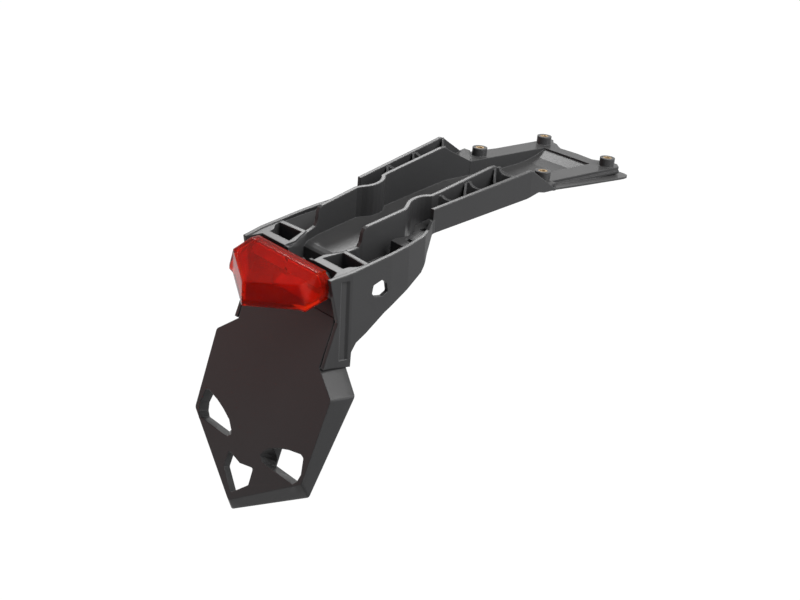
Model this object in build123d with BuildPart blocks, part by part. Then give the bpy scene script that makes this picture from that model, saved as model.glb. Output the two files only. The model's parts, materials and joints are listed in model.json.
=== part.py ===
from build123d import *
from math import cos, sin, radians
import os

# Motorcycle rear fender. +X is the bike's right, +Y is forward, +Z is up.
# The origin is the middle of the four bosses, on their tops.

# Boss pattern
boss_x = 40
boss_y = 44
boss_d = 14
boss_drop = 18
insert_d = 8.4
insert_len = 12
insert_bore_r = 2.5

# Walls
wall = 3.8
skin = 3.0
thin = 2.5

# Front plate
pad_z = -7.5
pad_in = 29
pad_out = 49
pad_front = 50
flange_x = 60
flange_z = -12
flange_t = 1.8

# Channel: top line of its walls and slope of its floor
peak_y = -99.9
peak_z = 10.1
wall_slope = 0.2353
floor_y = -95
floor_z = -21.7
floor_slope = 0.174
rim_end_z = -47.5

# Side rails
rail_y = -79.3
rail_z = 9.6
rail_slope = 0.202
rail_end = -182
rail_foot_y = -81.5
rail_foot_z = -15
rail_foot_slope = 0.17

# Skirts
skirt_front = -184
skirt_back = -294
rim_y = -234.7
rim_z = -36.4
rim_slope = 0.19
skirt_flare = 2.3
flute_x = 59.4

# Plate holder
tip_y = -342.1
tip_z = -256.4
lean = 18.0
rim_ahead = 3.7
rim_below = 10.0
front_lean = 23.27
neck = 142.8
corner_r = 4.0
neck_half = 55.2
plate_top = 183.8
plate_skin = 3.0

# Lamp
lens_top = -45
wall_back = -281
rim_end_y = wall_back + 3.5
lens_seat = 2.5
base_t = 3
gasket_t = 1.5
board_t = 1.6
tray_h = 4
led_z = -54.2
led_pitch = 10.4
lead_z = -55
lead_r = 3.2
lamp_screw_x = 32
lamp_screw_z = -65
lamp_screw_r = 1.5
lens_tip_y = -334.6
lens_tip_z = -80.5
lens_bottom = -63
lens_corner_point = (45, -295.3, -45)
housing_front = wall_back - gasket_t
lens_front = housing_front - base_t - lens_seat


def channel_top(y):
    return peak_z + wall_slope * (y - peak_y)


def channel_floor_top(y):
    return floor_z + floor_slope * (y - floor_y)


def rail_top(y):
    return rail_z + rail_slope * (y - rail_y)


def rail_foot(y):
    return rail_foot_z + rail_foot_slope * (y - rail_foot_y)


def rim(y):
    return rim_z + rim_slope * (y - rim_y)


def plate_z(along):
    return tip_z + along * cos(radians(lean))


def plate_y(z):
    return tip_y + (z - tip_z) * sin(radians(lean)) / cos(radians(lean))


plate_plane = Plane(
    origin=(0, tip_y, tip_z),
    x_dir=(1, 0, 0),
    z_dir=(0, -cos(radians(lean)), sin(radians(lean))),
)
front_plane = Plane(
    origin=(0, tip_y + rim_ahead, tip_z - rim_below),
    x_dir=(1, 0, 0),
    z_dir=(0, -cos(radians(front_lean)), sin(radians(front_lean))),
)

# Plan of the cable channel between its two walls, with the inward bump near the middle
with BuildSketch() as channel_plan:
    with BuildLine():
        Polyline((0, 36), (pad_in, 36), (pad_in, -60), (30.2, -100), (29.5, -162), (29, -167.7))
        Polyline((29, -167.7), (25.6, -170.6), (22.8, -174.4), (21.6, -178.4), (21.5, -182.4), (22.1, -186.4),
                 (24.4, -190.6), (27.6, -194.6), (29.6, -198.5))
        Polyline((29.6, -198.5), (27.4, -239.7), (24, rim_end_y + 23), (15.4, rim_end_y), (0, rim_end_y),
                 (0, 36))
    make_face()
    mirror(about=Plane.YZ)

with BuildSketch() as channel_outer:
    add(channel_plan.sketch)
    offset(amount=wall, kind=Kind.INTERSECTION)

with BuildSketch() as channel_ring:
    add(channel_outer.sketch)
    add(channel_plan.sketch, mode=Mode.SUBTRACT)

# Channel walls, their rim stepping down to the rear deck
with BuildPart() as channel_walls:
    with BuildSketch(Plane.XY.offset(-90)):
        add(channel_ring.sketch)
    extrude(amount=110)
    with BuildSketch(Plane.YZ):
        with BuildLine():
            Polyline(
                (-58, -12),
                (-64, -8.3),
                (peak_y + 6, peak_z - 3.4),
                (peak_y + 2.5, peak_z - 0.6),
                (peak_y - 2.5, peak_z - 0.8),
                (-236.5, channel_top(-236.5)),
                (-239.2, channel_top(-239.2) - 0.9),
                (-240.6, -27),
                (-241.6, -35),
                (-243.5, -38.8),
                (-247, rim(-247) - 1.2),
                (rim_end_y, rim_end_z),
                (rim_end_y, -64),
                (-254, -64),
                (-214, -52),
                (-180, channel_floor_top(-180) - skin),
                (floor_y, floor_z - skin),
                (-58, floor_z - skin),
                close=True,
            )
        make_face()
    extrude(amount=90, both=True, mode=Mode.INTERSECT)
    # cable notch and slit in the right-hand wall only
    with BuildSketch(Plane.YZ.offset(12)):
        with BuildLine():
            Spline((-250.5, -38), (-254, -42.6), (-258.5, -45.4), (-260.6, -54))
            Polyline((-260.6, -54), (-262.4, -54.4), (-264, -44.6), (-264, -38), (-250.5, -38))
        make_face()
        with Locations((-272.8, -44)):
            Rectangle(1.8, 22)
    extrude(amount=14, mode=Mode.SUBTRACT)

# Channel floor, ramping up to the front plate, and the apron behind it
with BuildPart() as channel_floor:
    with BuildSketch(Plane.XY.offset(-90)):
        add(channel_outer.sketch)
    extrude(amount=110)
    with BuildSketch(Plane.YZ):
        with BuildLine():
            Polyline(
                (36, pad_z - 0.4),
                (32, -9.7),
                (21, -14.3),
                (8, -17.4),
                (-6, -19),
                (-22, -20.2),
                (-60, -20.8),
                (floor_y, floor_z),
                (-252, channel_floor_top(-252)),
                (-256, channel_floor_top(-256) - 1),
                (-258, -52.5),
                (-258, -70),
                (-255, -70),
                (-255, -54.5),
                (-252, channel_floor_top(-252) - skin),
                (floor_y, floor_z - skin),
                (-60, -20.8 - skin),
                (-22, -20.2 - skin),
                (-6, -19 - skin),
                (8, -17.4 - skin),
                (21, -14.3 - skin),
                (32, -9.7 - skin),
                (36, pad_z - skin),
                close=True,
            )
        make_face()
    extrude(amount=90, both=True, mode=Mode.INTERSECT)

# Land behind the plate's front edge
with BuildSketch() as front_land:
    with BuildLine():
        Polyline((0, 36), (0, pad_front - 2), (20, pad_front - 3.5), (26, pad_front), (32, pad_front + 4.5),
                 (42, pad_front + 7), (42, 36), (0, 36))
    make_face()
    mirror(about=Plane.YZ)

# Front plate: two raised pads joined across the front, with a stepped outer wall and a thin flange
with BuildPart() as front_plate:
    with BuildSketch(Plane.XY.offset(pad_z)):
        add(front_land.sketch)
        with BuildLine():
            Polyline((0, 33), (0, 40), (42, 40), (42, pad_front + 7), (pad_out, pad_front + 1), (pad_out, -48),
                     (pad_in, -65), (pad_in, 33), (0, 33))
        make_face()
        mirror(about=Plane.YZ)
    extrude(amount=-skin)
    # step of the outer wall
    with BuildSketch(Plane.XY.offset(pad_z - 2.7)):
        with BuildLine():
            Polyline((pad_out - 3, pad_front + 3), (pad_out + 2.5, pad_front - 1), (pad_out + 3, -47),
                     (pad_out - 3, -50), close=True)
        make_face()
        mirror(about=Plane.YZ)
    extrude(amount=-2.5)
    # flange, falling slightly to the front
    with BuildSketch(Plane(origin=(0, 0, flange_z), x_dir=(1, 0, 0), z_dir=(0, 0.04, 1))):
        with BuildLine():
            Polyline((38, 50), (38, 58.5), (51, 58.5), (55.5, 57), (58.5, 53), (59.7, 47), (flange_x, 40),
                     (flange_x, -15), (59.4, -48), (48, -48), (48, 45), (38, 50))
        make_face()
        mirror(about=Plane.YZ)
    extrude(amount=-flange_t)
    # walls of the sunk pan and the pad's rear end
    with BuildSketch(Plane.XY.offset(-24)):
        with BuildLine():
            Polyline((pad_in, 33), (pad_in + thin, 33), (pad_in + thin, -64), (pad_in, -66), close=True)
        make_face()
        mirror(about=Plane.YZ)
    extrude(amount=24 + pad_z)
    with BuildSketch(Plane.XY.offset(pad_z - 1)):
        with BuildLine():
            Polyline((pad_in, -65), (pad_in, -62), (pad_out, -45), (58, -45), (58, -48), (pad_out, -48), close=True)
        make_face()
        mirror(about=Plane.YZ)
    extrude(amount=-4.5)
    # front lip
    with BuildSketch(Plane.XY.offset(pad_z - 9)):
        add(front_land.sketch)
        with Locations((0, -thin)):
            add(front_land.sketch, mode=Mode.SUBTRACT)
    extrude(amount=9)
    # bosses
    with BuildSketch():
        with GridLocations(2 * boss_x, 2 * boss_y, 2, 2):
            Circle(boss_d / 2)
    extrude(amount=-boss_drop)
    # ear with a small hole at the front left
    with BuildSketch(Plane.XY.offset(pad_z)):
        with Locations((-46, 58)):
            Circle(4.6)
        with Locations((-44, 54)):
            Rectangle(9, 8)
    extrude(amount=-skin)
    with BuildSketch(Plane.XY.offset(pad_z)):
        with Locations((-46, 58)):
            Circle(1.7)
    extrude(amount=-skin, mode=Mode.SUBTRACT)

# Side rails
with BuildPart() as rails:
    with BuildSketch(Plane.XY.offset(-60)):
        with BuildLine():
            Polyline(
                (49.2, rail_end),
                (58.9, -78.5),
                (59.5, -46),
                (59.5 - wall, -46),
                (58.9 - wall, -78.5),
                (49.2 - wall, rail_end),
                close=True,
            )
        make_face()
        mirror(about=Plane.YZ)
    extrude(amount=80)
    with BuildSketch(Plane.YZ):
        with BuildLine():
            Polyline(
                (-46, -11.3),
                (-73.7, 6.6),
                (-77, 8.9),
                (-80, 9.6),
                (-84, rail_top(-84)),
                (rail_end, rail_top(rail_end)),
                (rail_end, rail_foot(rail_end)),
                (rail_foot_y, rail_foot_z),
                (-68, -11),
                (-61, -12.2),
                (-46, -11.8),
                close=True,
            )
        make_face()
    extrude(amount=90, both=True, mode=Mode.INTERSECT)

# Floor of the pockets between the rails and the channel
with BuildPart() as pocket_floor:
    with BuildSketch(Plane.XY.offset(-60)):
        with BuildLine():
            Polyline((31, -180), (31, -64), (50, -46), (58, -46), (57.5, -78.5), (48, -180), close=True)
        make_face()
        mirror(about=Plane.YZ)
    extrude(amount=80)
    with BuildSketch(Plane.YZ):
        with BuildLine():
            Polyline(
                (-44, rail_foot(-44) + 3.3),
                (-184, rail_foot(-184) + 3.3),
                (-184, rail_foot(-184) + 0.8),
                (-44, rail_foot(-44) + 0.8),
                close=True,
            )
        make_face()
    extrude(amount=90, both=True, mode=Mode.INTERSECT)

# Round hollow along the top of the ribs, narrowing to the rear
with BuildPart() as rib_groove:
    with BuildSketch(Plane.XZ.offset(66)):
        with Locations((45.2, rail_top(-66) + 3)):
            Circle(9.5)
    with BuildSketch(Plane.XZ.offset(178)):
        with Locations((40.5, rail_top(-178) + 3)):
            Circle(6.5)
    loft(ruled=True)
    mirror(about=Plane.YZ)

# Zigzag ribs across each pocket, up to the channel on one side and to the rail on the other
with BuildPart() as ribs:
    with BuildSketch(Plane.XY.offset(-60)):
        with BuildLine():
            Polyline((56.5, -77), (32, -97.5), (52.5, -116.5), (32, -131), (49, -149), (32, -162.5))
        trace(line_width=2)
        mirror(about=Plane.YZ)
    extrude(amount=80)
    with BuildSketch(Plane.YZ):
        with BuildLine():
            Polyline((-70, channel_top(-82) - 2.5), (-82, channel_top(-82) - 2.5), (-170, channel_top(-170) - 2.5),
                     (-170, rail_foot(-170)), (-70, rail_foot(-70)), close=True)
        make_face()
    extrude(amount=90, both=True, mode=Mode.INTERSECT)
    for side in (1, -1):
        with BuildSketch(Plane.YZ.offset(side * 43)):
            with BuildLine():
                Polyline((-60, rail_top(-60) - 1), (-180, rail_top(-180) - 1), (-180, 30), (-60, 30), close=True)
            make_face()
        extrude(amount=side * 20, mode=Mode.SUBTRACT)
    add(rib_groove.part, mode=Mode.SUBTRACT)

# Side skirts with their windows
with BuildSketch() as skirt_plan:
    with BuildLine():
        Polyline((0, -172), (49, -172), (50.8, skirt_front), (56, -196), (59.3, -216), (60.5, -235),
                 (60.5, -274), (58.2, -288), (57.4, skirt_back), (57.4, -312), (0, -312), close=True)
    make_face()
    mirror(about=Plane.YZ)

with BuildSketch() as skirt_inner_plan:
    with BuildLine():
        Polyline((0, -150), (45.2, -150), (47, skirt_front + 1), (52.2, -196.6), (55.5, -216), (56.7, -235),
                 (56.7, -274), (54.4, -288), (53.6, skirt_back), (53.6, -330), (0, -330), close=True)
    make_face()
    mirror(about=Plane.YZ)

foot_z = plate_z(neck - 0.432)
foot_y = plate_y(foot_z)

with BuildPart() as skirts:
    with BuildSketch(Plane.XY.offset(-18)):
        add(skirt_plan.sketch)
    extrude(amount=-112, taper=-skirt_flare)
    with BuildSketch(Plane.XY.offset(-18)):
        add(skirt_inner_plan.sketch)
    extrude(amount=-112, taper=-skirt_flare, mode=Mode.SUBTRACT)
    with BuildSketch(Plane.YZ):
        with BuildLine():
            Polyline(
                (-181, -19.8),
                (skirt_front, -20.9),
                (-189.5, -26.6),
                (-198, rim(-198)),
                (skirt_back, rim(skirt_back)),
                (skirt_back + 1, -52),
                (plate_y(-84), -84),
                (foot_y, foot_z),
                (foot_y + 24.3, foot_z - 1.8),
                (foot_y + 24.9, foot_z + 10.5),
                (foot_y + 29.506, foot_z + 17.5),
                (foot_y + 39.106, foot_z + 23.3),
                (-239.9, -83.7),
                (-219.5, -72),
                (-199, -59.5),
                (-193.8, -52),
                (-192, -46),
                (skirt_front, -31.5),
                (-181, -31),
                close=True,
            )
        make_face()
    extrude(amount=90, both=True, mode=Mode.INTERSECT)
    with BuildSketch(Plane.YZ) as window:
        with BuildLine():
            Polyline((-243.7, -55.1), (-252.8, -58.3), (-254.2, -65.1), (-251.2, -68.4), (-243.2, -69.5),
                     (-237.7, -66.5), (-239.2, -59.1), close=True)
        make_face()
        fillet(window.vertices(), radius=1.6)
    extrude(amount=90, both=True, mode=Mode.SUBTRACT)
    # shallow flute that sets off the rear strip, following the flare of each skirt
    with BuildSketch(Plane.XY.offset(-50)):
        with BuildLine():
            Polyline((flute_x, -283.5), (flute_x, -278.5), (flute_x + 2.4, -276), (flute_x + 6, -276),
                     (flute_x + 6, -286), (flute_x + 2.4, -286), close=True)
        make_face()
    extrude(amount=66, dir=(0.0402, 0, -1), mode=Mode.SUBTRACT)
    with BuildSketch(Plane.XY.offset(-50)):
        with BuildLine():
            Polyline((-flute_x, -283.5), (-flute_x, -278.5), (-flute_x - 2.4, -276), (-flute_x - 6, -276),
                     (-flute_x - 6, -286), (-flute_x - 2.4, -286), close=True)
        make_face()
    extrude(amount=66, dir=(-0.0402, 0, -1), mode=Mode.SUBTRACT)

# Sloping floors of the troughs between the channel and the skirts
with BuildPart() as troughs:
    with BuildSketch(Plane.XZ.offset(214)):
        with BuildLine():
            Polyline((58.5, rim(-214) - 2.5), (58.5, rim(-214) - 5.5), (30, -53.5), (30, -50.3), close=True)
        make_face()
        mirror(about=Plane.YZ)
    extrude(amount=44, dir=(0, -1, -rim_slope))

# Tabs behind the pockets
with BuildPart() as tabs:
    with BuildSketch(Plane.XY.offset(-60)):
        with BuildLine():
            Spline((46, -170), (38, -172), (35.4, -175.6), (33, -180), (34, -187.6), (40.3, -194), (43.3, -202),
                   (39.4, -211), (39, -217.5))
            Polyline((39, -217.5), (57, -217.5), (56.5, -205), (54, -197), (49.5, -183), (48, -170), (46, -170))
        make_face()
        mirror(about=Plane.YZ)
    extrude(amount=60)
    with BuildSketch(Plane.YZ):
        with BuildLine():
            Polyline(
                (-168, rim(-168) - 1.5),
                (-217.5, rim(-217.5) - 1.5),
                (-217.5, rim(-217.5) - 14),
                (-214.5, rim(-214.5) - 14),
                (-214.5, rim(-214.5) - 4.5),
                (-168, rim(-168) - 4.5),
                close=True,
            )
        make_face()
    extrude(amount=90, both=True, mode=Mode.INTERSECT)
    with BuildSketch(Plane.XY.offset(-60)):
        with Locations((43.8, -187.5), (-43.8, -187.5)):
            Circle(2.8)
        with Locations((50.5, -207.5), (-50.5, -207.5)):
            SlotOverall(7, 3)
    extrude(amount=60, mode=Mode.SUBTRACT)

# Rear deck with a box-shaped pocket on each side
with BuildSketch() as box_plan:
    with BuildLine():
        Polyline((22.5, -273.7), (27.5, -257.4), (56, -259.2), (54.6, -264.4), (49.6, -269.3), (48.5, -274),
                 close=True)
    make_face()
    mirror(about=Plane.YZ)

with BuildPart() as rear_deck:
    with BuildSketch(Plane.XY.offset(-75)):
        with BuildLine():
            Polyline((19, -281), (18.5, -270), (26, -253.5), (60, -255), (60, -274), (57.4, -293), (56.6, -293),
                     (50, -281), close=True)
        make_face()
        mirror(about=Plane.YZ)
    extrude(amount=75)
    with BuildSketch(Plane.YZ):
        with BuildLine():
            Polyline(
                (-250, rim(-250) - 0.8),
                (-294, rim(-294) - 0.8),
                (-294, rim(-294) - 3.6),
                (-278.5, rim(-278.5) - 3.6),
                (-278.5, rim(-278.5) - 16.5),
                (-254, rim(-254) - 16.5),
                (-254, rim(-254) - 3.6),
                (-250, rim(-250) - 3.6),
                close=True,
            )
        make_face()
    extrude(amount=90, both=True, mode=Mode.INTERSECT)
    with BuildSketch(Plane.XY.offset(-57.5)):
        add(box_plan.sketch)
    extrude(amount=40, mode=Mode.SUBTRACT)

# Wall that carries the lamp
with BuildPart() as rear_wall:
    with BuildSketch(Plane.XZ.offset(-wall_back - skin)):
        with BuildLine():
            Polyline((14, -46.5), (56.5, -46.5), (56.5, -60), (50, -72), (14, -72), close=True)
        make_face()
        mirror(about=Plane.YZ)
    extrude(amount=skin)

# Plate holder: outer shell lofted between its front rim and its rear face
with BuildPart() as holder:
    with BuildSketch(plate_plane) as holder_rear:
        with BuildLine():
            Polyline((0, 0), (77, 51.6), (79.7, neck - 19), (neck_half, neck), (-neck_half, neck),
                     (-79.7, neck - 19), (-77, 51.6), close=True)
        make_face()
        fillet(holder_rear.vertices(), radius=corner_r)
    with BuildSketch(front_plane) as holder_front:
        with BuildLine():
            Polyline((0, 0), (78.4, 49.2), (84.2, neck - 3.2), (62.5, neck + 13.7), (-62.5, neck + 13.7),
                     (-84.2, neck - 3.2), (-78.4, 49.2), close=True)
        make_face()
        fillet(holder_front.vertices(), radius=corner_r)
    loft(ruled=True)

with BuildPart() as holder_hollow:
    with BuildSketch(plate_plane.offset(-plate_skin)):
        with BuildLine():
            Polyline((0, 3), (74, 53), (76.8, neck - 20.5), (neck_half - 3.2, neck - 1.3), (neck_half - 3.2, neck + 12),
                     (-neck_half + 3.2, neck + 12), (-neck_half + 3.2, neck - 1.3), (-76.8, neck - 20.5),
                     (-74, 53), close=True)
        make_face()
    with BuildSketch(front_plane.offset(-2)):
        with BuildLine():
            Polyline((0, 3.6), (75.4, 51), (81.2, neck - 4.6), (59.5, neck + 12.2), (59.5, neck + 29),
                     (-59.5, neck + 29), (-59.5, neck + 12.2), (-81.2, neck - 4.6), (-75.4, 51), close=True)
        make_face()
    loft(ruled=True)

# Eye and nose openings of the plate holder, drawn on its rear face
with BuildSketch() as eyes:
    with BuildLine():
        Polyline((32.5, 46.6), (32.5, 62.3), (41, 66), (51.5, 69.5), (66, 72.4), (70, 71), (73, 58), (71, 51),
                 (67, 46.8), close=True)
    make_face()
    fillet(eyes.vertices().filter_by_position(Axis.X, 60, 80), radius=2)
    mirror(about=Plane.YZ)

# Mouth of the ramp that runs into the inner end of the right-hand eye
with BuildSketch() as ramp_mouth:
    with BuildLine():
        Polyline((40, 46.6), (28.7, 46.6), (24.2, 47.1), (20.5, 50.3), (22.1, 54.2), (28.6, 60.8), (32.5, 62.3),
                 (40, 65.5), close=True)
    make_face()

with BuildPart() as ramps:
    with BuildSketch(plate_plane.offset(0.5)):
        add(ramp_mouth.sketch)
    extrude(amount=15, dir=(0.774, 0.602, -0.196))
    mirror(about=Plane.YZ)

with BuildSketch() as nose:
    with BuildLine():
        Polyline((0, 34), (17.5, 37.6), (18, 22.5), (0, 7), (-18, 22.5), (-17.5, 37.6), close=True)
    make_face()
    fillet(nose.vertices(), radius=2)

with BuildSketch() as eye_collars:
    add(ramp_mouth.sketch)
    mirror(about=Plane.YZ)
    add(eyes.sketch)
    offset(amount=thin, kind=Kind.INTERSECTION)

with BuildSketch() as nose_collar:
    add(nose.sketch)
    offset(amount=thin, kind=Kind.ARC)

with BuildPart() as plate_holder:
    add(holder.part)
    add(holder_hollow.part, mode=Mode.SUBTRACT)
    with BuildSketch(plate_plane.offset(-0.5)):
        add(eye_collars.sketch)
    extrude(amount=-10.2)
    with BuildSketch(plate_plane.offset(-0.5)):
        add(nose_collar.sketch)
    extrude(amount=-6)
    with BuildSketch(plate_plane.offset(5)):
        add(eyes.sketch)
        add(nose.sketch)
    extrude(amount=-30, mode=Mode.SUBTRACT)
    add(ramps.part, mode=Mode.SUBTRACT)
    # upper part of the plate, between the skirts
    with BuildSketch(plate_plane):
        with BuildLine():
            Polyline((0, neck - 5), (56, neck - 5), (56.5, plate_top - 4), (54, plate_top), (0, plate_top), close=True)
        make_face()
        mirror(about=Plane.YZ)
    extrude(amount=-plate_skin)

# The whole moulding
with BuildPart() as fender_body:
    add(front_plate.part)
    add(channel_floor.part)
    add(channel_walls.part)
    add(rails.part)
    add(pocket_floor.part)
    add(ribs.part)
    add(skirts.part)
    add(troughs.part)
    add(tabs.part)
    add(rear_deck.part)
    add(rear_wall.part)
    add(plate_holder.part)
    with GridLocations(2 * boss_x, 2 * boss_y, 2, 2):
        Cylinder(insert_d / 2, insert_len, align=(Align.CENTER, Align.CENTER, Align.MAX), mode=Mode.SUBTRACT)
    # clearance holes of the lamp screws
    with BuildSketch(Plane.XZ.offset(276)):
        with Locations((lamp_screw_x, lamp_screw_z), (-lamp_screw_x, lamp_screw_z)):
            Circle(2.2)
    extrude(amount=8, mode=Mode.SUBTRACT)

# Brass insert, flush with its boss
with BuildPart() as insert:
    with BuildSketch():
        Circle(insert_d / 2)
        Circle(insert_bore_r, mode=Mode.SUBTRACT)
    extrude(amount=-insert_len)

# Hollow facet at the upper end of the lens, between two planes through one corner
with BuildPart() as lens_corner:
    with Locations((70, -300, -40)):
        Box(60, 60, 70)
    split(bisect_by=Plane(origin=lens_corner_point, z_dir=(0.908, -0.17, 0.384)), keep=Keep.TOP)
    split(bisect_by=Plane(origin=lens_corner_point, z_dir=(0.687, -0.484, 0.543)), keep=Keep.TOP)

# Lamp lens: plan, side and rear outlines crossed, then hollowed from the front
with BuildPart() as lens_cavity:
    with BuildSketch(Plane.XY.offset(-84)):
        with BuildLine():
            Polyline((0, lens_front + 2), (46.5, lens_front + 2), (47.5, lens_front - 0.6),
                     (51.8, lens_front - 5), (48.8, -309.3), (43.5, -310.4), (0, lens_tip_y + 2.8), close=True)
        make_face()
    extrude(amount=44)
    with BuildSketch(Plane.YZ):
        with BuildLine():
            Polyline((lens_front + 2, lens_top - 2.2), (lens_front - 7.3, lens_top - 2.6),
                     (lens_tip_y + 3.1, -61.6), (lens_tip_y + 2.8, lens_tip_z + 3.9),
                     (lens_front + 2, lens_bottom + 2.8), close=True)
        make_face()
    extrude(amount=70, mode=Mode.INTERSECT)
    with BuildSketch(Plane.XZ):
        with BuildLine():
            Polyline((0, -40), (43.6, -40), (43.6, lens_top - 2.7), (53.4, -54.6), (49, -70.5), (49, -81),
                     (0, -81), close=True)
        make_face()
    extrude(amount=360, mode=Mode.INTERSECT)
    with Locations((-3, 0.5, -0.8)):
        add(lens_corner.part, mode=Mode.SUBTRACT)
    mirror(about=Plane.YZ)

with BuildPart() as lamp_lens:
    with BuildSketch(Plane.XY.offset(-84)):
        with BuildLine():
            Polyline((0, lens_front), (50, lens_front), (54.4, lens_front - 4.4), (51.7, -311.7), (45, -313),
                     (0, lens_tip_y), close=True)
        make_face()
    extrude(amount=44)
    with BuildSketch(Plane.YZ):
        with BuildLine():
            Polyline((lens_front, lens_top + 0.4), (lens_front - 7.3, lens_top), (lens_tip_y + 0.6, -59.8),
                     (lens_tip_y, lens_tip_z), (lens_front, lens_bottom), close=True)
        make_face()
    extrude(amount=70, mode=Mode.INTERSECT)
    with BuildSketch(Plane.XZ):
        with BuildLine():
            Polyline((0, -40), (45, -40), (45, lens_top - 1.5), (56.2, -54.2), (51.7, -71.3), (51.7, -84),
                     (0, -84), close=True)
        make_face()
    extrude(amount=360, mode=Mode.INTERSECT)
    add(lens_corner.part, mode=Mode.SUBTRACT)
    mirror(about=Plane.YZ)
    add(lens_cavity.part, mode=Mode.SUBTRACT)

# Lamp housing: base plate screwed to the body's rear wall, a rim the lens sits on, a tray for the board
with BuildPart() as lamp_housing:
    with BuildSketch(Plane.XZ.offset(-housing_front)):
        with BuildLine():
            Polyline((0, -49.4), (40, -49.4), (46, -56), (44, -62), (37, -68.8), (27, -68.8), (24, -62), (0, -62),
                     close=True)
        make_face()
        mirror(about=Plane.YZ)
        with Locations((0, lead_z)):
            Circle(lead_r, mode=Mode.SUBTRACT)
    extrude(amount=base_t)
    with BuildSketch(Plane.XZ.offset(-housing_front + base_t)):
        with BuildLine():
            Polyline((0, -46.2), (41, -46.2), (48.4, -53), (46.5, -60), (43, -62.3), (0, -62.3), close=True)
        make_face()
        mirror(about=Plane.YZ)
    extrude(amount=lens_seat)
    with BuildSketch(Plane.XZ.offset(-lens_front)) as tray:
        with BuildLine():
            Polyline((0, -49), (40, -49), (45.5, -54.5), (45, -57), (41.5, -59.4), (0, -59.4), close=True)
        make_face()
        mirror(about=Plane.YZ)
        offset(amount=-1.8, kind=Kind.INTERSECTION, mode=Mode.SUBTRACT)
    extrude(amount=tray_h)
    with BuildSketch(Plane.XZ.offset(-housing_front + base_t)):
        with Locations((lamp_screw_x, lamp_screw_z), (-lamp_screw_x, lamp_screw_z)):
            Circle(3.4)
    extrude(amount=2)
    with BuildSketch(Plane.XZ.offset(-housing_front)):
        with Locations((lamp_screw_x, lamp_screw_z), (-lamp_screw_x, lamp_screw_z)):
            Circle(lamp_screw_r)
    extrude(amount=4.2, mode=Mode.SUBTRACT)

# Foam gasket between the housing and the body
with BuildPart() as lamp_gasket:
    with BuildSketch(Plane.XZ.offset(-wall_back)):
        with BuildLine():
            Polyline((0, -49.4), (40, -49.4), (46, -56), (44, -62), (37, -68.8), (27, -68.8), (24, -62), (0, -62),
                     close=True)
        make_face()
        mirror(about=Plane.YZ)
        with Locations((0, lead_z)):
            Rectangle(20, 9, mode=Mode.SUBTRACT)
        with Locations((lamp_screw_x, lamp_screw_z), (-lamp_screw_x, lamp_screw_z)):
            Circle(2.2, mode=Mode.SUBTRACT)
    extrude(amount=gasket_t)

# Circuit board with its diodes, and the reflector over them
with BuildPart() as led_board:
    with BuildSketch(Plane.XZ.offset(-lens_front)):
        with BuildLine():
            Polyline((0, -51.2), (39, -51.2), (43, -55), (42.4, -56.4), (40.8, -57.4), (0, -57.4), close=True)
        make_face()
        mirror(about=Plane.YZ)
    extrude(amount=board_t)

with BuildPart() as led:
    with BuildSketch(Plane.XZ.offset(-lens_front + board_t)):
        with Locations((0, led_z)):
            Rectangle(3.2, 2.8)
    extrude(amount=1.4)
    chamfer(led.faces().sort_by(Axis.Y)[0].edges(), length=0.3)

with BuildPart() as lamp_reflector:
    with BuildSketch(Plane.XZ.offset(-lens_front + tray_h)):
        with BuildLine():
            Polyline((0, -49), (40, -49), (45.5, -54.5), (45, -57), (41.5, -59.4), (0, -59.4), close=True)
        make_face()
        mirror(about=Plane.YZ)
    extrude(amount=1.6)
    with Locations(Plane((0, lens_front - tray_h, led_z), z_dir=(0, -1, 0))):
        with GridLocations(led_pitch, 0, 8, 1):
            Cone(2.4, 3.4, 1.6, align=(Align.CENTER, Align.CENTER, Align.MIN), mode=Mode.SUBTRACT)

# Lamp screw, put in from the front
with BuildPart() as lamp_screw:
    with BuildSketch(Plane.XZ.offset(275.2)):
        Circle(3.2)
    extrude(amount=2.8)
    chamfer(lamp_screw.edges().sort_by(Axis.Y)[-1], length=0.8)
    with BuildSketch(Plane.XZ.offset(278)):
        Circle(lamp_screw_r)
    extrude(amount=8.2)
    with BuildSketch(Plane.XZ.offset(275.2)):
        RegularPolygon(1.5, 6)
    extrude(amount=1.6, mode=Mode.SUBTRACT)

# Rubber outlet of the lamp's lead
with BuildPart() as cable_grommet:
    with BuildSketch(Plane.XZ.offset(-housing_front)):
        Circle(lead_r)
    extrude(amount=base_t)
    with BuildSketch(Plane.XZ.offset(-housing_front)):
        Circle(4.3)
    extrude(amount=-7.6, taper=8)
    with BuildSketch(Plane.XZ.offset(-housing_front - 7.6)):
        Circle(1.5)
    extrude(amount=9, mode=Mode.SUBTRACT)

pieces = {
    "fender_body": fender_body.part,
    "lamp_lens": lamp_lens.part,
    "lamp_housing": lamp_housing.part,
    "lamp_gasket": lamp_gasket.part,
    "led_board": led_board.part,
    "lamp_reflector": lamp_reflector.part,
    "insert_front_right": Pos(boss_x, boss_y, 0) * insert.part,
    "insert_front_left": Pos(-boss_x, boss_y, 0) * insert.part,
    "insert_rear_right": Pos(boss_x, -boss_y, 0) * insert.part,
    "insert_rear_left": Pos(-boss_x, -boss_y, 0) * insert.part,
    "lamp_screw_right": Pos(lamp_screw_x, 0, lamp_screw_z) * lamp_screw.part,
    "lamp_screw_left": Pos(-lamp_screw_x, 0, lamp_screw_z) * lamp_screw.part,
    "cable_grommet": Pos(0, 0, lead_z) * cable_grommet.part,
}
for count in range(8):
    pieces[f"led_{count + 1}"] = Pos((count - 3.5) * led_pitch, 0, 0) * led.part

os.makedirs("parts", exist_ok=True)
for name, shape in pieces.items():
    shape.label = name
    export_step(shape, f"parts/{name}.step")
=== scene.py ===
"""Studio scene of a motorcycle rear fender with its tail lamp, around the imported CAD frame."""

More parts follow.
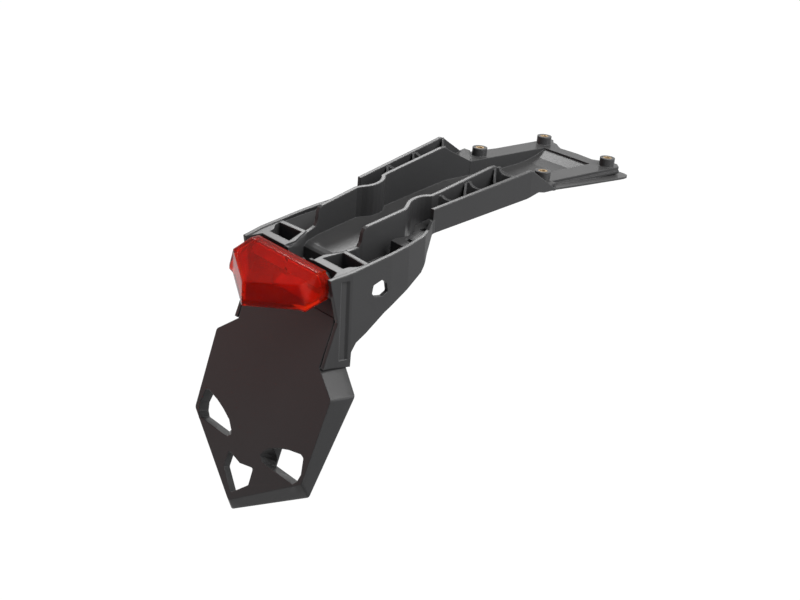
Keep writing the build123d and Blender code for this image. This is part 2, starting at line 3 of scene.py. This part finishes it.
import json
import logging
import math
from dataclasses import dataclass
from enum import Enum
from typing import Optional, Union

import bmesh
import bpy
from mathutils import Matrix, Vector

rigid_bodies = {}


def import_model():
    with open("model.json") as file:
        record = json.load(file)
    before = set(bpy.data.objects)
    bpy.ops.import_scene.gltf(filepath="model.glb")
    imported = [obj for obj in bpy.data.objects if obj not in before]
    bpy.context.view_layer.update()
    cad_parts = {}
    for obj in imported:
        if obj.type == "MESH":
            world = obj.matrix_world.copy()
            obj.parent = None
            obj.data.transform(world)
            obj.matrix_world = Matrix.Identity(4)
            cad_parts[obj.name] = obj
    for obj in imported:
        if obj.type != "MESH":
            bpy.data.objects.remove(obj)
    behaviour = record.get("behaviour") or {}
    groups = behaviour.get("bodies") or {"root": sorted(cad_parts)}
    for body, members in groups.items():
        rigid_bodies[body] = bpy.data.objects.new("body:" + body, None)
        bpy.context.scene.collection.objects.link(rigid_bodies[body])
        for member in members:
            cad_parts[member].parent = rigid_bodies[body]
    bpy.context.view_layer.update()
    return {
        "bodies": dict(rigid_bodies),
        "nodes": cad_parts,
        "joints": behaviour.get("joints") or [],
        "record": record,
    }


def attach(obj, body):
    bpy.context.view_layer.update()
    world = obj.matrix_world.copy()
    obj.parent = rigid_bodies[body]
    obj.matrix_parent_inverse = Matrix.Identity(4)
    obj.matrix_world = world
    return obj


LOG = logging.getLogger("rear_fender_scene")

Colour = tuple[float, float, float, float]
WHITE: Colour = (1.0, 1.0, 1.0, 1.0)

# Studio, in metres and degrees
FLOOR_Z = -0.36
FLOOR_HALF = 4.0
FLOOR_GLOW = 1.07
FLOOR_SHARE = 0.94
AMBIENT_COLOUR: Colour = (0.95, 0.97, 1.0, 1.0)
AMBIENT_STRENGTH = 0.14
BACKDROP_STRENGTH = 1.0
CAMERA_PLACE = Vector((0.74334, -0.85561, 0.31413))
CAMERA_AZIMUTH = 49.159
CAMERA_ELEVATION = 26.748
CAMERA_TILT = 5.8636
CAMERA_LENS = 56.25
CAMERA_SENSOR = 36.0
CAMERA_CLIP = (0.02, 20.0)

# Softened edges, in metres and degrees
WELD_DISTANCE = 0.00001
BEVEL_ANGLE = 28.0
PLAIN_BEVEL = 0.0003
PLAIN_SEGMENTS = 2
ROUND_SAMPLES = 12
BUMP_STRENGTH = 0.6


class Surface(Enum):
    """The kinds of surface the finishes are made for."""

    PLASTIC = "plastic"
    LENS = "lens"
    METAL = "metal"
    RUBBER = "rubber"
    BOARD = "board"
    FLOOR = "floor"


@dataclass(frozen=True)
class Finish:
    """Look of one material, all plain values.

    Attributes:
        name: Name of the material.
        surface: Kind of surface; the floor has a shader set-up of its own.
        base: Main colour.
        second: Colour the grain fades to.
        roughness: Middle roughness.
        roughness_swing: How far the roughness varies each way.
        metallic: Metallic value.
        coat: Weight of the clear coat.
        coat_roughness: Roughness of the clear coat.
        grain_scale: Scale of the fine grain, per metre.
        bump: Height of the fine grain, in metres.
        wear_and_highlight: Strength of the lighter edges, which are partly wear and, on the
            black plastic and the lens, partly painted highlight.
        wear_and_highlight_colour: Colour of the lighter edges.
        dust: Strength of the settled dust.
        transmission: Share of light let through.
        ior: Index of refraction.
        specular: Strength of the plain gloss.
        round_off: Radius over which the shading rounds the edges, in metres.
    """

    name: str
    surface: Surface
    base: Colour
    second: Colour
    roughness: float = 0.45
    roughness_swing: float = 0.06
    metallic: float = 0.0
    coat: float = 0.0
    coat_roughness: float = 0.1
    grain_scale: float = 900.0
    bump: float = 0.00004
    wear_and_highlight: float = 0.25
    wear_and_highlight_colour: Colour = (0.3, 0.3, 0.3, 1.0)
    dust: float = 0.0
    transmission: float = 0.0
    ior: float = 1.46
    specular: float = 0.5
    round_off: float = 0.0


BLACK_PLASTIC = Finish(
    name="BlackPlastic",
    surface=Surface.PLASTIC,
    base=(0.038, 0.038, 0.039, 1.0),
    second=(0.050, 0.050, 0.051, 1.0),
    roughness=0.30,
    roughness_swing=0.04,
    grain_scale=1500.0,
    bump=0.000014,
    # Lighter rims: partly edge wear, partly a painted highlight where the rounded rims catch the
    # lights
    wear_and_highlight=0.45,
    wear_and_highlight_colour=(0.125, 0.125, 0.128, 1.0),
    dust=0.08,
    specular=0.15,
    round_off=0.0012,
)
HOUSING_PLASTIC = Finish(
    name="HousingPlastic",
    surface=Surface.PLASTIC,
    base=(0.030, 0.029, 0.029, 1.0),
    second=(0.045, 0.043, 0.043, 1.0),
    roughness=0.5,
    grain_scale=1200.0,
    wear_and_highlight=0.2,
    wear_and_highlight_colour=(0.12, 0.12, 0.12, 1.0),
)
RED_LENS = Finish(
    name="RedLens",
    surface=Surface.LENS,
    base=(0.93, 0.030, 0.0008, 1.0),
    second=(0.33, 0.002, 0.0001, 1.0),
    roughness=0.06,
    roughness_swing=0.02,
    grain_scale=60.0,
    bump=0.0,
    # Bright orange edges: painted glints where the lens edges catch the light, not wear
    wear_and_highlight=0.7,
    wear_and_highlight_colour=(0.95, 0.085, 0.010, 1.0),
    coat=0.05,
    coat_roughness=0.03,
    transmission=0.77,
    ior=1.09,
    specular=0.25,
    round_off=0.0035,
)
REFLECTOR_RED = Finish(
    name="ReflectorRed",
    surface=Surface.LENS,
    base=(0.85, 0.05, 0.006, 1.0),
    second=(0.62, 0.03, 0.003, 1.0),
    roughness=0.18,
    roughness_swing=0.05,
    grain_scale=700.0,
    bump=0.00008,
    wear_and_highlight=0.1,
    specular=0.3,
)
BRASS = Finish(
    name="Brass",
    surface=Surface.METAL,
    base=(0.36, 0.26, 0.15, 1.0),
    second=(0.24, 0.17, 0.09, 1.0),
    roughness=0.46,
    roughness_swing=0.08,
    metallic=1.0,
    grain_scale=700.0,
    bump=0.000006,
    wear_and_highlight=0.3,
    wear_and_highlight_colour=(0.52, 0.40, 0.24, 1.0),
)
ZINC = Finish(
    name="Zinc",
    surface=Surface.METAL,
    base=(0.56, 0.57, 0.58, 1.0),
    second=(0.42, 0.43, 0.45, 1.0),
    roughness=0.32,
    roughness_swing=0.08,
    metallic=1.0,
    grain_scale=1900.0,
    bump=0.00001,
)
SEAL_RUBBER = Finish(
    name="SealRubber",
    surface=Surface.RUBBER,
    base=(0.022, 0.022, 0.022, 1.0),
    second=(0.036, 0.036, 0.036, 1.0),
    roughness=0.72,
    grain_scale=2200.0,
    bump=0.00003,
    wear_and_highlight=0.1,
)
BOARD_GREEN = Finish(
    name="BoardGreen",
    surface=Surface.BOARD,
    base=(0.014, 0.10, 0.034, 1.0),
    second=(0.020, 0.14, 0.05, 1.0),
    roughness=0.3,
    coat=0.3,
    grain_scale=1400.0,
    bump=0.00001,
)
DIODE_RESIN = Finish(
    name="DiodeResin",
    surface=Surface.BOARD,
    base=(0.92, 0.80, 0.55, 1.0),
    second=(0.80, 0.68, 0.42, 1.0),
    roughness=0.15,
    coat=0.5,
    grain_scale=1800.0,
    bump=0.0,
    wear_and_highlight=0.0,
)
PALE_FLOOR = Finish(
    name="PaleFloor",
    surface=Surface.FLOOR,
    base=(0.5, 0.5, 0.5, 1.0),
    second=(0.5, 0.5, 0.5, 1.0),
    roughness=0.9,
    specular=0.0,
)

NODE_FINISH: dict[str, Finish] = {
    "fender_body": BLACK_PLASTIC,
    "lamp_lens": RED_LENS,
    "lamp_housing": HOUSING_PLASTIC,
    "lamp_gasket": SEAL_RUBBER,
    "led_board": BOARD_GREEN,
    "lamp_reflector": REFLECTOR_RED,
    "cable_grommet": SEAL_RUBBER,
}
PREFIX_FINISH: dict[str, Finish] = {
    "insert_": BRASS,
    "lamp_screw_": ZINC,
    "led_": DIODE_RESIN,
}


@dataclass(frozen=True)
class NoiseLook:
    """How one noise texture is set.

    Attributes:
        scale: Its scale, per metre.
        detail: Its detail.
    """

    scale: float
    detail: float


# Grain, edge wear with painted edge highlights, and dust of the shared groups
FINE_DETAIL = 4.0
FINE_ROUGHNESS = 0.6
FINE_SHARE = 0.5
NOISE_MIDDLE, NOISE_TO_SWING = 0.5, 2.0
BROAD_GRAIN = NoiseLook(22.0, 3.0)
WEAR_AND_HIGHLIGHT_PATCHES = NoiseLook(160.0, 5.0)
DUST_CLOUDS = NoiseLook(34.0, 6.0)
EDGE_RADIUS = 0.0012
EDGE_STARTS, EDGE_FULL = 0.985, 0.86
PATCH_LOW, PATCH_HIGH, PATCH_LEAST = 0.35, 0.62, 0.35
WEAR_AND_HIGHLIGHT_SMOOTHER = -0.12
DUST_STARTS, DUST_FULL = 0.2, 1.0
DUST_COLOUR: Colour = (0.42, 0.41, 0.39, 1.0)
DUST_ROUGHER = 0.3


class NodeGroups:
    """Shared shader node groups, each built once and then reused by every material."""

    def __init__(self) -> None:
        """Builds the groups."""
        self.grain = self._grain()
        self.edge = self._edge_wear_and_highlight()
        self.dust = self._dust()

    @staticmethod
    def _new(
        name: str,
        inputs: dict[str, tuple[str, object]],
        outputs: dict[str, str],
    ) -> bpy.types.NodeTree:
        """Makes an empty group with named sockets.

        Args:
            name: Name of the group.
            inputs: Socket name to its type and default value.
            outputs: Socket name to its type.

        Returns:
            The new node tree, with its input and output nodes in place.
        """
        tree = bpy.data.node_groups.new(name, "ShaderNodeTree")
        for label, (kind, value) in inputs.items():
            socket = tree.interface.new_socket(label, in_out="INPUT", socket_type=kind)
            socket.default_value = value
        for label, kind in outputs.items():
            tree.interface.new_socket(label, in_out="OUTPUT", socket_type=kind)
        tree.nodes.new("NodeGroupInput").name = "In"
        tree.nodes.new("NodeGroupOutput").name = "Out"
        return tree

    @staticmethod
    def _noise(tree: bpy.types.NodeTree, look: NoiseLook) -> bpy.types.Node:
        """Adds a noise texture on Object coordinates.

        Args:
            tree: The node tree it goes into.
            look: Its scale and detail.

        Returns:
            The noise node.
        """
        where = tree.nodes.new("ShaderNodeTexCoord")
        noise = tree.nodes.new("ShaderNodeTexNoise")
        noise.inputs["Scale"].default_value = look.scale
        noise.inputs["Detail"].default_value = look.detail
        tree.links.new(where.outputs["Object"], noise.inputs["Vector"])
        return noise

    @staticmethod
    def maths(
        tree: bpy.types.NodeTree,
        operation: str,
        *values: Union[float, bpy.types.NodeSocket],
    ) -> bpy.types.NodeSocket:
        """Adds a Math node.

        Args:
            tree: The node tree it goes into.
            operation: What it does.
            values: Its inputs in order, each a number or a socket.

        Returns:
            Its output.
        """
        node = tree.nodes.new("ShaderNodeMath")
        node.operation = operation
        for place, value in enumerate(values):
            if isinstance(value, (int, float)):
                node.inputs[place].default_value = value
            else:
                tree.links.new(value, node.inputs[place])
        return node.outputs[0]

    @staticmethod
    def _blend(
        tree: bpy.types.NodeTree,
        factor: bpy.types.NodeSocket,
        first: bpy.types.NodeSocket,
        second: Union[Colour, bpy.types.NodeSocket],
    ) -> bpy.types.NodeSocket:
        """Adds a colour mix.

        Args:
            tree: The node tree it goes into.
            factor: How much of the second colour shows.
            first: The first colour.
            second: The second colour, plain or a socket.

        Returns:
            The mixed colour.
        """
        mix = tree.nodes.new("ShaderNodeMix")
        mix.data_type = "RGBA"
        tree.links.new(factor, mix.inputs["Factor"])
        tree.links.new(first, mix.inputs["A"])
        if isinstance(second, tuple):
            mix.inputs["B"].default_value = second
        else:
            tree.links.new(second, mix.inputs["B"])
        return mix.outputs["Result"]

    @classmethod
    def direct_view(cls, tree: bpy.types.NodeTree) -> bpy.types.NodeSocket:
        """Tells the rays that look straight at, mirror or pass through to a surface.

        Args:
            tree: The node tree it goes into.

        Returns:
            One for camera, glossy and transmission rays, zero for the rest.
        """
        path = tree.nodes.new("ShaderNodeLightPath")
        camera, glossy = path.outputs["Is Camera Ray"], path.outputs["Is Glossy Ray"]
        seen = cls.maths(tree, "MAXIMUM", camera, glossy)
        return cls.maths(tree, "MAXIMUM", seen, path.outputs["Is Transmission Ray"])

    def _grain(self) -> bpy.types.NodeTree:
        """Fine moulded grain: a colour mix, a roughness swing and a height.

        Returns:
            The node group.
        """
        tree = self._new(
            "Grain",
            {
                "Base": ("NodeSocketColor", (0.5, 0.5, 0.5, 1.0)),
                "Second": ("NodeSocketColor", (0.4, 0.4, 0.4, 1.0)),
                "Scale": ("NodeSocketFloat", 900.0),
                "Roughness": ("NodeSocketFloat", 0.5),
                "Swing": ("NodeSocketFloat", 0.05),
            },
            {
                "Color": "NodeSocketColor",
                "Roughness": "NodeSocketFloat",
                "Height": "NodeSocketFloat",
            },
        )
        links = tree.links
        source, sink = tree.nodes["In"], tree.nodes["Out"]
        fine = self._noise(tree, NoiseLook(1.0, FINE_DETAIL))
        fine.inputs["Roughness"].default_value = FINE_ROUGHNESS
        links.new(source.outputs["Scale"], fine.inputs["Scale"])
        broad = self._noise(tree, BROAD_GRAIN)
        rest = self.maths(tree, "MULTIPLY", broad.outputs["Fac"], 1.0 - FINE_SHARE)
        both = self.maths(tree, "MULTIPLY_ADD", fine.outputs["Fac"], FINE_SHARE, rest)
        colour = self._blend(tree, both, source.outputs["Base"], source.outputs["Second"])
        links.new(colour, sink.inputs["Color"])
        centred = self.maths(tree, "SUBTRACT", both, NOISE_MIDDLE)
        span = self.maths(tree, "MULTIPLY", source.outputs["Swing"], NOISE_TO_SWING)
        rough = self.maths(tree, "MULTIPLY_ADD", centred, span, source.outputs["Roughness"])
        links.new(rough, sink.inputs["Roughness"])
        links.new(fine.outputs["Fac"], sink.inputs["Height"])
        return tree

    def _edge_wear_and_highlight(self) -> bpy.types.NodeTree:
        """Lighter edges where a rounded normal leaves the flat one, broken by noise; on the
        black plastic this is partly wear and partly a painted highlight on the rims, on the lens
        it is painted glints.

        Returns:
            The node group.
        """
        tree = self._new(
            "EdgeWearAndHighlight",
            {
                "Color": ("NodeSocketColor", (0.5, 0.5, 0.5, 1.0)),
                "WornAndHighlight": ("NodeSocketColor", (0.7, 0.7, 0.7, 1.0)),
                "Roughness": ("NodeSocketFloat", 0.5),
                "Amount": ("NodeSocketFloat", 0.3),
                "Radius": ("NodeSocketFloat", EDGE_RADIUS),
            },
            {"Color": "NodeSocketColor", "Roughness": "NodeSocketFloat"},
        )
        nodes, links = tree.nodes, tree.links
        source, sink = nodes["In"], nodes["Out"]
        geometry = nodes.new("ShaderNodeNewGeometry")
        rounded = nodes.new("ShaderNodeBevel")
        rounded.samples = ROUND_SAMPLES
        links.new(source.outputs["Radius"], rounded.inputs["Radius"])
        agree = nodes.new("ShaderNodeVectorMath")
        agree.operation = "DOT_PRODUCT"
        links.new(geometry.outputs["True Normal"], agree.inputs[0])
        links.new(rounded.outputs["Normal"], agree.inputs[1])
        sharp = nodes.new("ShaderNodeMapRange")
        sharp.inputs["From Min"].default_value = EDGE_STARTS
        sharp.inputs["From Max"].default_value = EDGE_FULL
        links.new(agree.outputs["Value"], sharp.inputs["Value"])
        patchy = self._noise(tree, WEAR_AND_HIGHLIGHT_PATCHES)
        broken = nodes.new("ShaderNodeMapRange")
        broken.inputs["From Min"].default_value = PATCH_LOW
        broken.inputs["From Max"].default_value = PATCH_HIGH
        broken.inputs["To Min"].default_value = PATCH_LEAST
        links.new(patchy.outputs["Fac"], broken.inputs["Value"])
        mask = self.maths(tree, "MULTIPLY", sharp.outputs["Result"], broken.outputs["Result"])
        amount = self.maths(tree, "MULTIPLY", mask, source.outputs["Amount"])
        colour = self._blend(tree, amount, source.outputs["Color"], source.outputs["WornAndHighlight"])
        links.new(colour, sink.inputs["Color"])
        rough = self.maths(
            tree, "MULTIPLY_ADD", amount, WEAR_AND_HIGHLIGHT_SMOOTHER, source.outputs["Roughness"]
        )
        links.new(rough, sink.inputs["Roughness"])
        return tree

    def _dust(self) -> bpy.types.NodeTree:
        """A thin veil of dust on what faces up.

        Returns:
            The node group.
        """
        tree = self._new(
            "SettledDust",
            {
                "Color": ("NodeSocketColor", (0.5, 0.5, 0.5, 1.0)),
                "Roughness": ("NodeSocketFloat", 0.5),
                "Amount": ("NodeSocketFloat", 0.1),
            },
            {"Color": "NodeSocketColor", "Roughness": "NodeSocketFloat"},
        )
        nodes, links = tree.nodes, tree.links
        source, sink = nodes["In"], nodes["Out"]
        geometry = nodes.new("ShaderNodeNewGeometry")
        split = nodes.new("ShaderNodeSeparateXYZ")
        links.new(geometry.outputs["Normal"], split.inputs["Vector"])
        up = nodes.new("ShaderNodeMapRange")
        up.inputs["From Min"].default_value = DUST_STARTS
        up.inputs["From Max"].default_value = DUST_FULL
        links.new(split.outputs["Z"], up.inputs["Value"])
        cloud = self._noise(tree, DUST_CLOUDS)
        veil = self.maths(tree, "MULTIPLY", up.outputs["Result"], cloud.outputs["Fac"])
        amount = self.maths(tree, "MULTIPLY", veil, source.outputs["Amount"])
        colour = self._blend(tree, amount, source.outputs["Color"], DUST_COLOUR)
        links.new(colour, sink.inputs["Color"])
        rough = self.maths(
            tree, "MULTIPLY_ADD", amount, DUST_ROUGHER, source.outputs["Roughness"]
        )
        links.new(rough, sink.inputs["Roughness"])
        return tree


class MaterialLibrary:
    """Makes each finish's material once."""

    def __init__(self) -> None:
        """Builds the shared groups."""
        self.groups = NodeGroups()
        self._made: dict[str, bpy.types.Material] = {}

    def get(self, finish: Finish) -> bpy.types.Material:
        """The material of a finish, made on first use.

        Args:
            finish: The finish wanted.

        Returns:
            Its material.
        """
        if finish.name not in self._made:
            self._made[finish.name] = self._build(finish)
        return self._made[finish.name]

    def _build(self, finish: Finish) -> bpy.types.Material:
        """Builds one material from its finish.

        Args:
            finish: The finish to build.

        Returns:
            The new material.
        """
        material = bpy.data.materials.new(finish.name)
        material.use_nodes = True
        material.diffuse_color = finish.base
        tree = material.node_tree
        nodes, links = tree.nodes, tree.links
        shader = next(n for n in nodes if n.type == "BSDF_PRINCIPLED")
        shader.inputs["Metallic"].default_value = finish.metallic
        shader.inputs["Coat Weight"].default_value = finish.coat
        shader.inputs["Coat Roughness"].default_value = finish.coat_roughness
        shader.inputs["Transmission Weight"].default_value = finish.transmission
        shader.inputs["IOR"].default_value = finish.ior
        shader.inputs["Specular IOR Level"].default_value = finish.specular
        if finish.surface is Surface.FLOOR:
            self._floor_shader(tree, shader, finish)
            return material
        grain = nodes.new("ShaderNodeGroup")
        grain.node_tree = self.groups.grain
        grain.inputs["Base"].default_value = finish.base
        grain.inputs["Second"].default_value = finish.second
        grain.inputs["Scale"].default_value = finish.grain_scale
        grain.inputs["Roughness"].default_value = finish.roughness
        grain.inputs["Swing"].default_value = finish.roughness_swing
        colour, rough = grain.outputs["Color"], grain.outputs["Roughness"]
        # Lighter edges: real wear, with a painted highlight on the plastic rims and painted
        # glints on the lens
        if finish.wear_and_highlight > 0:
            edge = nodes.new("ShaderNodeGroup")
            edge.node_tree = self.groups.edge
            edge.inputs["WornAndHighlight"].default_value = finish.wear_and_highlight_colour
            edge.inputs["Amount"].default_value = finish.wear_and_highlight
            links.new(colour, edge.inputs["Color"])
            links.new(rough, edge.inputs["Roughness"])
            colour, rough = edge.outputs["Color"], edge.outputs["Roughness"]
        if finish.dust > 0:
            dust = nodes.new("ShaderNodeGroup")
            dust.node_tree = self.groups.dust
            dust.inputs["Amount"].default_value = finish.dust
            links.new(colour, dust.inputs["Color"])
            links.new(rough, dust.inputs["Roughness"])
            colour, rough = dust.outputs["Color"], dust.outputs["Roughness"]
        links.new(colour, shader.inputs["Base Color"])
        links.new(rough, shader.inputs["Roughness"])
        normal = None
        if finish.round_off > 0:
            rounded = nodes.new("ShaderNodeBevel")
            rounded.samples = ROUND_SAMPLES
            rounded.inputs["Radius"].default_value = finish.round_off
            normal = rounded.outputs["Normal"]
        if finish.bump > 0:
            bump = nodes.new("ShaderNodeBump")
            bump.inputs["Strength"].default_value = BUMP_STRENGTH
            bump.inputs["Distance"].default_value = finish.bump
            links.new(grain.outputs["Height"], bump.inputs["Height"])
            if normal is not None:
                links.new(normal, bump.inputs["Normal"])
            normal = bump.outputs["Normal"]
        if normal is not None:
            links.new(normal, shader.inputs["Normal"])
        return material

    @staticmethod
    def _floor_shader(
        tree: bpy.types.NodeTree, shader: bpy.types.Node, finish: Finish
    ) -> None:
        """Plain white to what looks at the floor, with the part's shadow kept faintly.

        Args:
            tree: The material's node tree.
            shader: Its principled shader.
            finish: The floor's finish.
        """
        nodes, links = tree.nodes, tree.links
        shader.inputs["Base Color"].default_value = finish.base
        shader.inputs["Roughness"].default_value = finish.roughness
        out = next(n for n in nodes if n.type == "OUTPUT_MATERIAL")
        seen = NodeGroups.direct_view(tree)
        share = NodeGroups.maths(tree, "MULTIPLY", seen, FLOOR_SHARE)
        glow = nodes.new("ShaderNodeEmission")
        glow.inputs["Color"].default_value = WHITE
        glow.inputs["Strength"].default_value = FLOOR_GLOW
        mix = nodes.new("ShaderNodeMixShader")
        links.new(share, mix.inputs["Fac"])
        links.new(shader.outputs["BSDF"], mix.inputs[1])
        links.new(glow.outputs["Emission"], mix.inputs[2])
        links.new(mix.outputs["Shader"], out.inputs["Surface"])


class MeshTool:
    """Small helpers that turn a bmesh into a piece of the object."""

    def __init__(self, library: MaterialLibrary) -> None:
        """Keeps the material library.

        Args:
            library: Where the materials come from.
        """
        self.library = library

    def piece(
        self,
        name: str,
        mesh: bmesh.types.BMesh,
        finish: Finish,
    ) -> bpy.types.Object:
        """Makes an object of a bmesh, which rides on the root body.

        Args:
            name: Name of the piece.
            mesh: The geometry, freed here.
            finish: Its finish.

        Returns:
            The new object.
        """
        data = bpy.data.meshes.new(name)
        bmesh.ops.recalc_face_normals(mesh, faces=mesh.faces)
        mesh.to_mesh(data)
        mesh.free()
        data.materials.append(self.library.get(finish))
        thing = bpy.data.objects.new(name, data)
        bpy.context.scene.collection.objects.link(thing)
        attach(thing, "root")
        return thing


@dataclass(frozen=True)
class WallWebs:
    """The short panels that close the gap between the lamp's wall and the plate.

    Attributes:
        inner: Where a panel starts, sideways.
        outer: Where it ends, inside the skirt.
        profile: Its section, seen from the side.
        edge: How far its edges are rounded.
        steps: In how many steps.
    """

    inner: float = 0.0295
    outer: float = 0.0572
    profile: tuple[tuple[float, float], ...] = (
        (-0.2784, -0.0705),
        (-0.2812, -0.0705),
        (-0.2857, -0.0835),
        (-0.2826, -0.0835),
    )
    edge: float = 0.0005
    steps: int = 2

    def build(self, tool: MeshTool) -> None:
        """Builds a panel on each side.

        Args:
            tool: What turns a bmesh into a piece.
        """
        for side, label in ((1.0, "right"), (-1.0, "left")):
            mesh = bmesh.new()
            corners = [mesh.verts.new((side * self.inner, y, z)) for y, z in self.profile]
            face = mesh.faces.new(corners)
            grown = bmesh.ops.extrude_face_region(mesh, geom=[face])
            moved = [item for item in grown["geom"] if isinstance(item, bmesh.types.BMVert)]
            reach = side * (self.outer - self.inner)
            bmesh.ops.translate(mesh, verts=moved, vec=(reach, 0.0, 0.0))
            bmesh.ops.bevel(
                mesh,
                geom=list(mesh.edges),
                offset=self.edge,
                segments=self.steps,
                affect="EDGES",
                profile=0.5,
                material=-1,
            )
            tool.piece(f"wall_web_{label}", mesh, BLACK_PLASTIC)
            LOG.info("wall_web_%s built", label)


# Steps and widths of the bevels that differ from the plain ones
SEGMENTS: dict[str, int] = {"fender_body": 3, "lamp_lens": 3}
BEVELS: dict[str, float] = {
    "fender_body": 0.0008,
    "lamp_lens": 0.0009,
    "lamp_housing": 0.0004,
}


class FrameDress:
    """Gives every CAD node its finish and softened edges."""

    def __init__(self, frame: dict, library: MaterialLibrary) -> None:
        """Keeps the frame and the library.

        Args:
            library: Where the materials come from.
        """
        self.frame = frame
        self.library = library

    @staticmethod
    def finish_of(node: str) -> Finish:
        """The finish of a CAD node.

        Args:
            node: Name of the node.

        Returns:
            Its finish.
        """
        if node in NODE_FINISH:
            return NODE_FINISH[node]
        for prefix, finish in PREFIX_FINISH.items():
            if node.startswith(prefix):
                return finish
        return BLACK_PLASTIC

    def run(self) -> None:
        """Puts the materials on and adds the bevels."""
        for name, thing in self.frame["nodes"].items():
            finish = self.finish_of(name)
            thing.data.materials.clear()
            thing.data.materials.append(self.library.get(finish))
            self._soften(name, thing)
            LOG.info("%s has %s", name, finish.name)

    @staticmethod
    def _soften(name: str, thing: bpy.types.Object) -> None:
        """Adds a bevel that rounds the moulded edges.

        Args:
            name: Name of the node.
            thing: Its object.
        """
        if name.startswith("led_"):
            return
        weld = thing.modifiers.new("Weld", "WELD")
        weld.merge_threshold = WELD_DISTANCE
        bevel = thing.modifiers.new("SoftEdges", "BEVEL")
        bevel.limit_method = "ANGLE"
        bevel.angle_limit = math.radians(BEVEL_ANGLE)
        bevel.width = BEVELS.get(name, PLAIN_BEVEL)
        bevel.segments = SEGMENTS.get(name, PLAIN_SEGMENTS)
        bevel.profile = 0.5
        bevel.harden_normals = False
        bevel.use_clamp_overlap = True


@dataclass(frozen=True)
class SoftBox:
    """One square soft light of the studio.

    Attributes:
        name: Name of the light.
        toward: Direction from the object to the light.
        distance: How far away it stands, in metres.
        size: Its side, in metres.
        radiance: How bright its face is.
        colour: Its colour.
    """

    name: str
    toward: tuple[float, float, float]
    distance: float
    size: float
    radiance: float
    colour: tuple[float, float, float] = (1.0, 1.0, 1.0)


LIGHT_AIM = Vector((0.0, -0.15, -0.05))
SOFT_BOXES = (
    SoftBox("KeyLight", (-0.68, 0.36, 0.64), 2.2, 0.6, 17.0),
    SoftBox("SideLight", (0.84, 0.40, 0.36), 1.5, 1.1, 3.6),
    SoftBox("TopLight", (0.50, 0.12, 0.85), 1.5, 0.8, 10.0),
    SoftBox("RearGlow", (-0.69, -0.72, 0.05), 2.0, 1.2, 0.8, (1.0, 0.16, 0.12)),
)


class Studio:
    """Floor, lights, background and camera."""

    def __init__(self, library: MaterialLibrary) -> None:
        """Keeps the library.

        Args:
            library: Where the materials come from.
        """
        self.library = library

    def run(self) -> None:
        """Builds the studio."""
        self._world()
        self._floor()
        self._lights()
        self._camera()
        bpy.context.scene.view_settings.view_transform = "Standard"

    @staticmethod
    def _world() -> None:
        """White to camera, glossy and transmission rays, a dim grey to the rest."""
        world = bpy.data.worlds.new("Backdrop")
        bpy.context.scene.world = world
        world.use_nodes = True
        nodes, links = world.node_tree.nodes, world.node_tree.links
        nodes.clear()
        out = nodes.new("ShaderNodeOutputWorld")
        mix = nodes.new("ShaderNodeMixShader")
        ambient = nodes.new("ShaderNodeBackground")
        ambient.inputs["Color"].default_value = AMBIENT_COLOUR
        ambient.inputs["Strength"].default_value = AMBIENT_STRENGTH
        plain = nodes.new("ShaderNodeBackground")
        plain.inputs["Color"].default_value = WHITE
        plain.inputs["Strength"].default_value = BACKDROP_STRENGTH
        links.new(NodeGroups.direct_view(world.node_tree), mix.inputs["Fac"])
        links.new(ambient.outputs["Background"], mix.inputs[1])
        links.new(plain.outputs["Background"], mix.inputs[2])
        links.new(mix.outputs["Shader"], out.inputs["Surface"])

    def _floor(self) -> None:
        """A wide floor that looks white, about a hand below the part."""
        mesh = bmesh.new()
        bmesh.ops.create_grid(mesh, x_segments=1, y_segments=1, size=FLOOR_HALF)
        data = bpy.data.meshes.new("Floor")
        mesh.to_mesh(data)
        mesh.free()
        data.materials.append(self.library.get(PALE_FLOOR))
        floor = bpy.data.objects.new("Floor", data)
        floor.location = (0.0, 0.0, FLOOR_Z)
        bpy.context.scene.collection.objects.link(floor)

    @staticmethod
    def _area(spec: SoftBox) -> None:
        """Adds one soft area light.

        Args:
            spec: What the light is like.
        """
        data = bpy.data.lights.new(spec.name, "AREA")
        data.shape = "RECTANGLE"
        data.size = data.size_y = spec.size
        data.color = spec.colour
        data.energy = spec.radiance * spec.size * spec.size * math.pi
        lamp = bpy.data.objects.new(spec.name, data)
        toward = Vector(spec.toward).normalized()
        lamp.location = LIGHT_AIM + toward * spec.distance
        lamp.rotation_mode = "QUATERNION"
        lamp.rotation_quaternion = (-toward).to_track_quat("-Z", "Y")
        bpy.context.scene.collection.objects.link(lamp)

    def _lights(self) -> None:
        """Sets up the soft boxes around the object."""
        for spec in SOFT_BOXES:
            self._area(spec)

    @staticmethod
    def _camera() -> None:
        """The photo's viewpoint."""
        a, e = math.radians(CAMERA_AZIMUTH), math.radians(CAMERA_ELEVATION)
        tilt = Matrix.Rotation(math.radians(CAMERA_TILT), 3, "X")
        right = tilt @ Vector((math.cos(a), math.sin(a), 0.0))
        up = tilt @ Vector(
            (-math.sin(a) * math.sin(e), math.cos(a) * math.sin(e), math.cos(e))
        )
        back = tilt @ Vector(
            (math.sin(a) * math.cos(e), -math.cos(a) * math.cos(e), math.sin(e))
        )
        data = bpy.data.cameras.new("Camera")
        data.lens = CAMERA_LENS
        data.sensor_width = CAMERA_SENSOR
        data.clip_start, data.clip_end = CAMERA_CLIP
        camera = bpy.data.objects.new("Camera", data)
        turn = Matrix((right, up, back)).transposed().to_4x4()
        camera.matrix_world = Matrix.Translation(CAMERA_PLACE) @ turn
        bpy.context.scene.collection.objects.link(camera)
        bpy.context.scene.camera = camera


def main() -> None:
    """Builds the scene."""
    logging.basicConfig(level=logging.INFO)
    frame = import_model()
    library = MaterialLibrary()
    FrameDress(frame, library).run()
    WallWebs().build(MeshTool(library))
    Studio(library).run()


if __name__ == "__main__":
    main()
